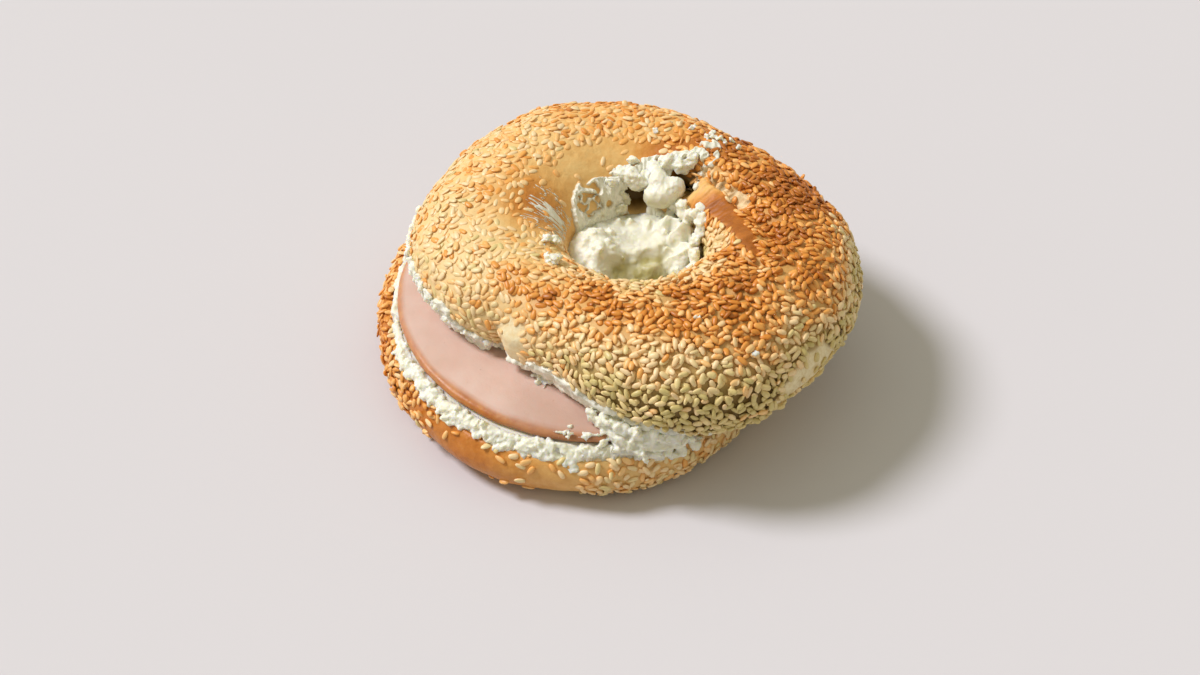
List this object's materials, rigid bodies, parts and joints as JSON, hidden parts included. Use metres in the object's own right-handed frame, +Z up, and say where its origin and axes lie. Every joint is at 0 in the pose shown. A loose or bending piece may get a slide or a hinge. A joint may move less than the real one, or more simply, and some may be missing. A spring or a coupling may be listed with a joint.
{
  "type": "koulouri sandwich",
  "caption": "Sesame ring loaf cut in two and filled with cream cheese and a slice of cooked ham, with cheese heaped in its hole.",
  "frame": {"origin": "middle of the sandwich's outline, seen from above, on the surface that it rests on", "axes": "+Z up, +X to the side that the upper half has slipped towards, -Y the front, where the ham shows"},
  "size_m": [0.1313, 0.125, 0.0484],
  "materials": {
    "crust_lower": "baked crust, satin, with sesame",
    "crust_upper": "baked crust, satin, with sesame",
    "ham": "moist cooked ham",
    "cream_cheese": "moist, crumbly cream cheese"
  },
  "bodies": {
    "root": {"bread_lower": "crust_lower", "cream_lower": "cream_cheese", "ham_slice": "ham", "cream_upper": "cream_cheese", "bread_upper": "crust_upper"}
  },
  "joints": []
}
